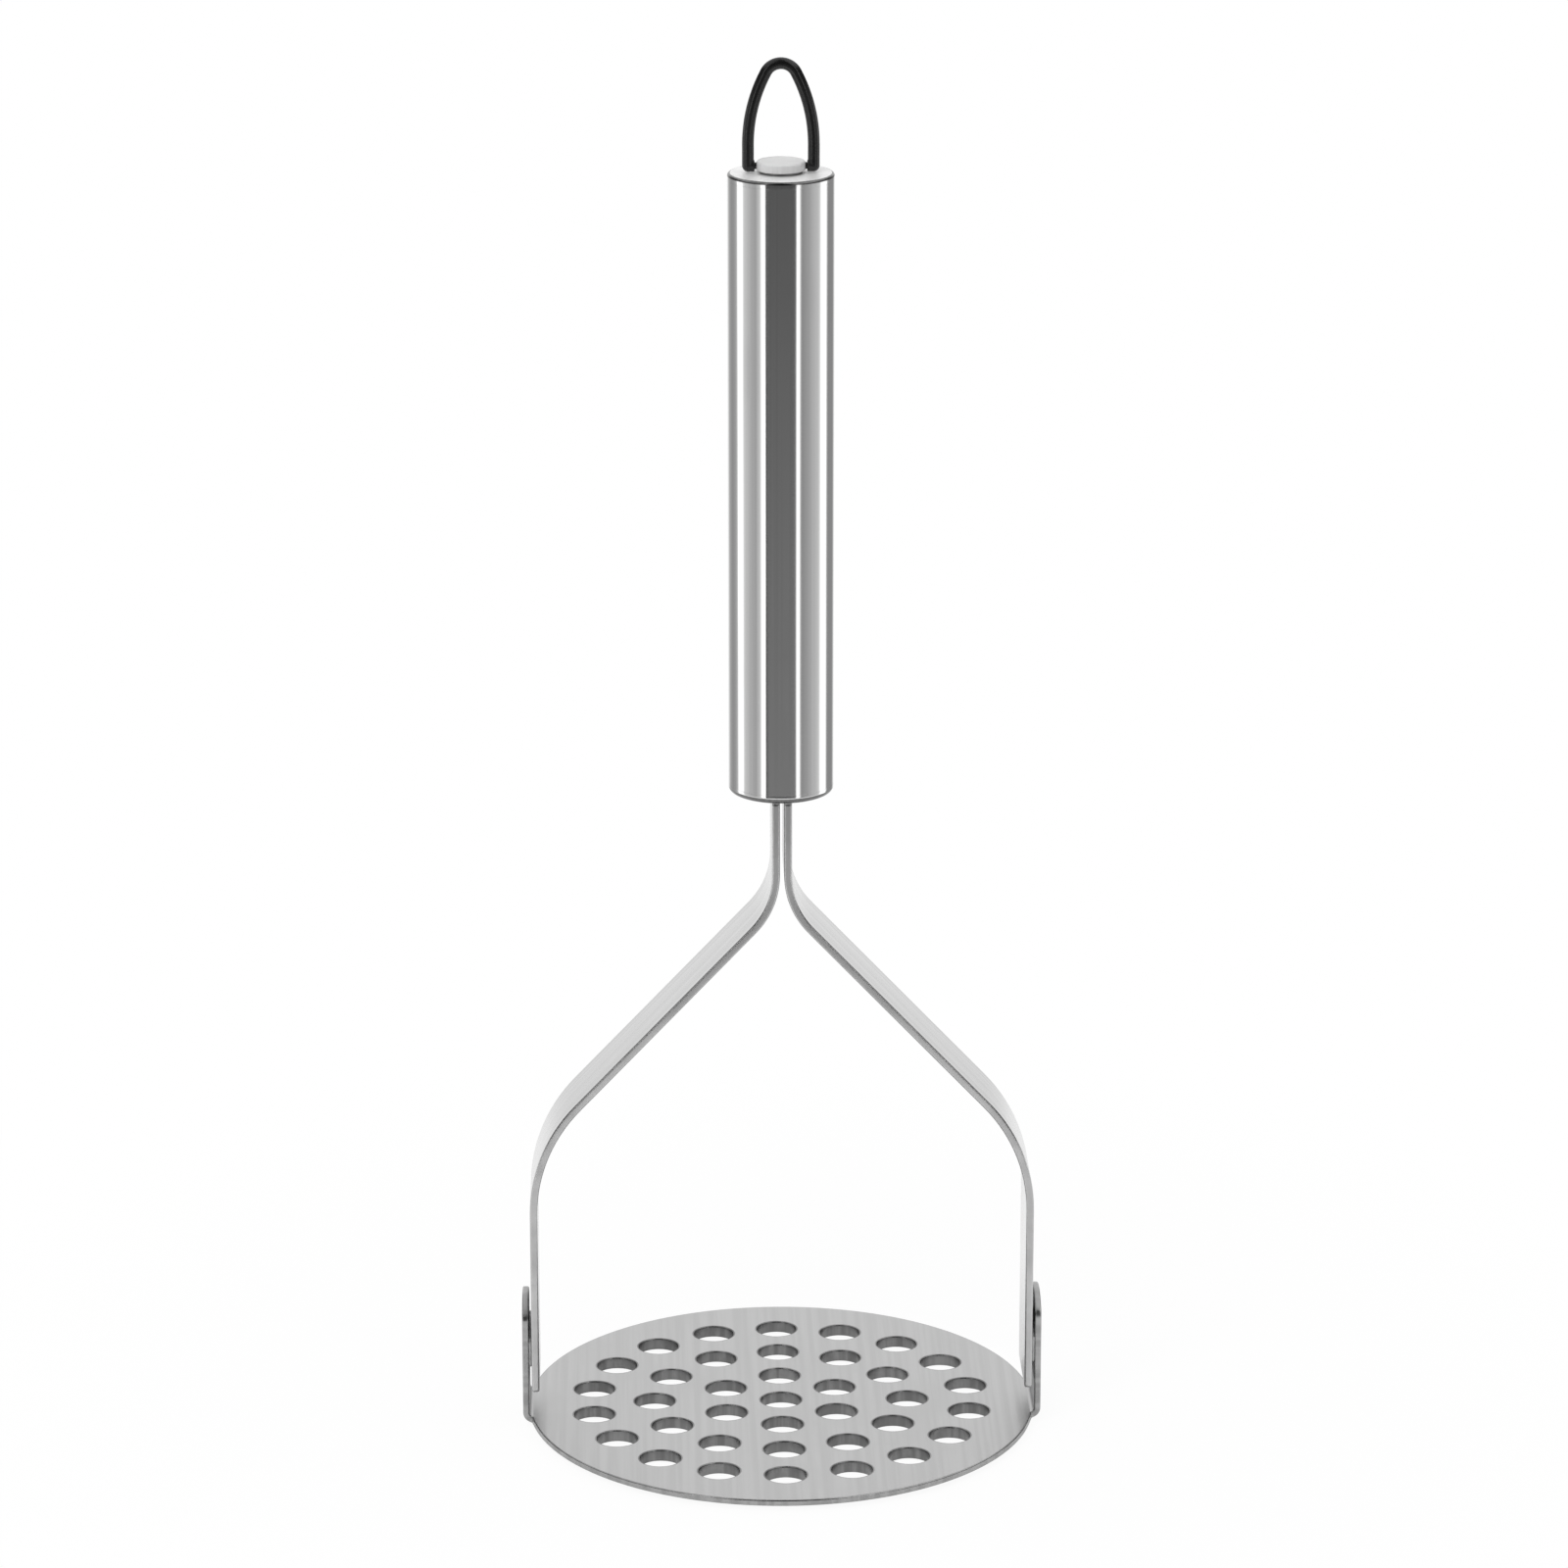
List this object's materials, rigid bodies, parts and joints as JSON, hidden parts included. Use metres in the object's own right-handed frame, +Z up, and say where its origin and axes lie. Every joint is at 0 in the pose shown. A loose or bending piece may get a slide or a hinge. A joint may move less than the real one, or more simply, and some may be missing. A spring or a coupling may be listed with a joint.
{
  "type": "potato masher",
  "caption": "Round perforated mashing plate on a frame of two bent flat strips, with an upright tube handle and a swinging hanging loop.",
  "frame": {"origin": "under the middle of the mashing plate, on the surface that the masher stands on", "axes": "+Z up along the handle's axis, +X towards the right-hand leg, +Y away from the viewer"},
  "size_m": [0.0962, 0.094, 0.2557],
  "materials": {
    "satin_steel": "satin stainless steel",
    "strip_steel": "satin stainless strip",
    "polished_steel": "polished stainless steel",
    "plug_plastic": "moulded, not visible",
    "black_plastic": "satin black moulding"
  },
  "bodies": {
    "masher": {"masher_plate": "satin_steel", "right_leg": "strip_steel", "left_leg": "strip_steel", "leg_welds": "strip_steel", "handle_tube": "polished_steel", "handle_top_cap": "polished_steel", "handle_bottom_cap": "polished_steel", "loop_boss": "satin_steel", "anchor_plug": "plug_plastic", "cross_pin": "strip_steel"},
    "loop": {"hanging_loop": "black_plastic"}
  },
  "joints": [
    {"name": "loop_swing", "type": "hinge", "parent": "masher", "child": "loop", "pos_m": [0, 0, 0.2364], "axis": [1, 0, 0], "range_deg": [-90, 90]}
  ]
}
